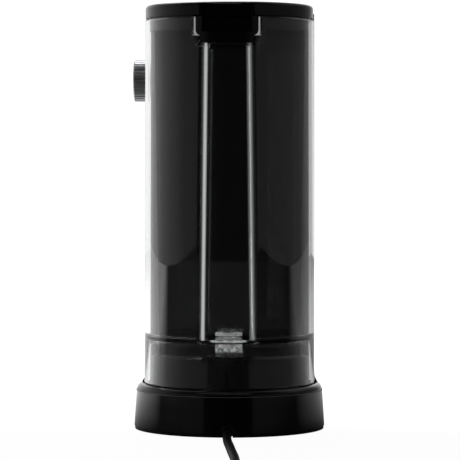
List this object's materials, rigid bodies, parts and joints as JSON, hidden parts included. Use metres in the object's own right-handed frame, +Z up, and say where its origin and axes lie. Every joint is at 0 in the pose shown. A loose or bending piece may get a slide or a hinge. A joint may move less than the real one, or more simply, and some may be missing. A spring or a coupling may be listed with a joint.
{
  "type": "espresso machine with rear water tank",
  "caption": "Slim pump espresso machine with a clear removable rear water tank, side steam knob, portafilter, steam wand, drip tray and mains cord.",
  "frame": {"origin": "on the worktop plane under the rubber feet, on the middle plane of the base's width, 135 mm ahead of the base's rear", "axes": "+Z up, front of the machine faces -Y, tank at +Y, +X is the machine's right side with the steam knob"},
  "size_m": [0.1658, 0.731, 0.32],
  "materials": {
    "gloss_black": "polished black moulded ABS",
    "satin_black": "fine satin black moulded ABS",
    "inner_black": "plain moulded polypropylene",
    "clear_tank": "clear moulded SAN plastic",
    "valve_grey": "translucent natural polypropylene",
    "brushed_steel": "stainless sheet, brushed upright",
    "tray_steel": "stainless sheet, brushed",
    "chromed": "chromed",
    "knob_metal": "chromed and ribbed",
    "cast_alloy": "die-cast, as cast",
    "brass": "machined",
    "spring_steel": "drawn wire",
    "zinc_screw": "zinc-plated",
    "rubber_black": "moulded rubber",
    "silicone": "translucent silicone tube",
    "float_red": "red moulded plastic",
    "lamp": "amber lens",
    "button_metal": "satin metallised plastic",
    "board": "glass-fibre board with parts",
    "copper": "varnished winding in a steel frame",
    "cord_pvc": "PVC sheath",
    "plug_pvc": "moulded PVC",
    "pin_metal": "nickel-plated brass"
  },
  "bodies": {
    "machine": {"base_shell": "gloss_black", "base_plate": "satin_black", "rubber_feet": "rubber_black", "base_screws": "zinc_screw", "tank_seat": "satin_black", "docking_port": "valve_grey", "port_seal": "silicone", "body_frame": "satin_black", "side_panel_right": "brushed_steel", "side_panel_left": "brushed_steel", "rear_panel": "satin_black", "top_cover": "satin_black", "cup_plate": "tray_steel", "front_cover": "gloss_black", "lamp_lenses": "lamp", "switch_board": "board", "steam_valve": "brass", "wand_nut": "chromed", "group_head": "cast_alloy", "group_gasket": "rubber_black", "shower_screen": "tray_steel", "screen_screw": "zinc_screw", "thermoblock": "cast_alloy", "thermostats": "zinc_screw", "pump_coil": "copper", "pump_body": "inner_black", "pump_mounts": "rubber_black", "supply_hose": "silicone", "pressure_hose": "silicone", "steam_hoses": "silicone", "control_board": "board", "strain_relief": "cord_pvc", "power_cord": "cord_pvc", "cord_coil": "cord_pvc", "plug_body": "plug_pvc", "plug_pins": "pin_metal"},
    "drip_tray": {"drip_tray": "gloss_black"},
    "drip_grille": {"drip_grille": "tray_steel"},
    "tray_float": {"tray_float": "float_red"},
    "water_tank": {"water_tank": "clear_tank", "tank_handle": "satin_black", "lid_hinge_pins": "spring_steel", "tank_valve": "valve_grey", "valve_spring": "spring_steel"},
    "tank_lid": {"tank_lid": "satin_black"},
    "valve_poppet": {"valve_poppet": "valve_grey", "valve_seal": "silicone"},
    "power_button": {"power_button": "button_metal"},
    "brew_button": {"brew_button": "button_metal"},
    "steam_button": {"steam_button": "button_metal"},
    "steam_knob": {"steam_knob": "knob_metal", "steam_spindle": "brass"},
    "steam_wand": {"steam_wand": "chromed", "wand_grip": "rubber_black", "steam_nozzle": "chromed"},
    "portafilter": {"portafilter": "chromed", "portafilter_handle": "satin_black", "coffee_spout": "satin_black", "filter_basket": "tray_steel"},
    "pump_piston": {"pump_piston": "spring_steel"}
  },
  "joints": [
    {"name": "drip_tray_slide", "type": "slide", "parent": "machine", "child": "drip_tray", "axis": [0, -1, 0], "range_m": [0, 0.13]},
    {"name": "drip_grille_lift", "type": "slide", "parent": "drip_tray", "child": "drip_grille", "axis": [0, 0, 1], "range_m": [0, 0.03]},
    {"name": "tray_float_rise", "type": "slide", "parent": "drip_tray", "child": "tray_float", "axis": [0, 0, 1], "range_m": [0, 0.006]},
    {"name": "water_tank_lift", "type": "slide", "parent": "machine", "child": "water_tank", "axis": [0, 0, 1], "range_m": [0, 0.29]},
    {"name": "tank_lid_hinge", "type": "hinge", "parent": "water_tank", "child": "tank_lid", "pos_m": [0, 0.0635, 0.315], "axis": [1, 0, 0], "range_deg": [0, 90]},
    {"name": "valve_poppet_open", "type": "slide", "parent": "water_tank", "child": "valve_poppet", "axis": [0, 0, 1], "range_m": [0, 0.003], "stiffness_N_per_m": 150, "springref_m": -0.003},
    {"name": "power_button_press", "type": "slide", "parent": "machine", "child": "power_button", "axis": [0, 1, 0], "range_m": [0, 0.0015], "stiffness_N_per_m": 900},
    {"name": "brew_button_press", "type": "slide", "parent": "machine", "child": "brew_button", "axis": [0, 1, 0], "range_m": [0, 0.0015], "stiffness_N_per_m": 900},
    {"name": "steam_button_press", "type": "slide", "parent": "machine", "child": "steam_button", "axis": [0, 1, 0], "range_m": [0, 0.0015], "stiffness_N_per_m": 900},
    {"name": "steam_knob_turn", "type": "hinge", "parent": "machine", "child": "steam_knob", "pos_m": [0.05, 0.005, 0.265], "axis": [1, 0, 0], "range_deg": [0, 270]},
    {"name": "steam_wand_swing", "type": "hinge", "parent": "machine", "child": "steam_wand", "pos_m": [0.047, -0.06, 0.205], "axis": [0, 0, 1], "range_deg": [0, 80]},
    {"name": "portafilter_turn", "type": "hinge", "parent": "machine", "child": "portafilter", "pos_m": [0, -0.075, 0.18], "axis": [0, 0, 1], "range_deg": [-45, 0]},
    {"name": "pump_piston_stroke", "type": "slide", "parent": "machine", "child": "pump_piston", "axis": [0, 0, 1], "range_m": [-0.005, 0.005], "stiffness_N_per_m": 1500}
  ]
}
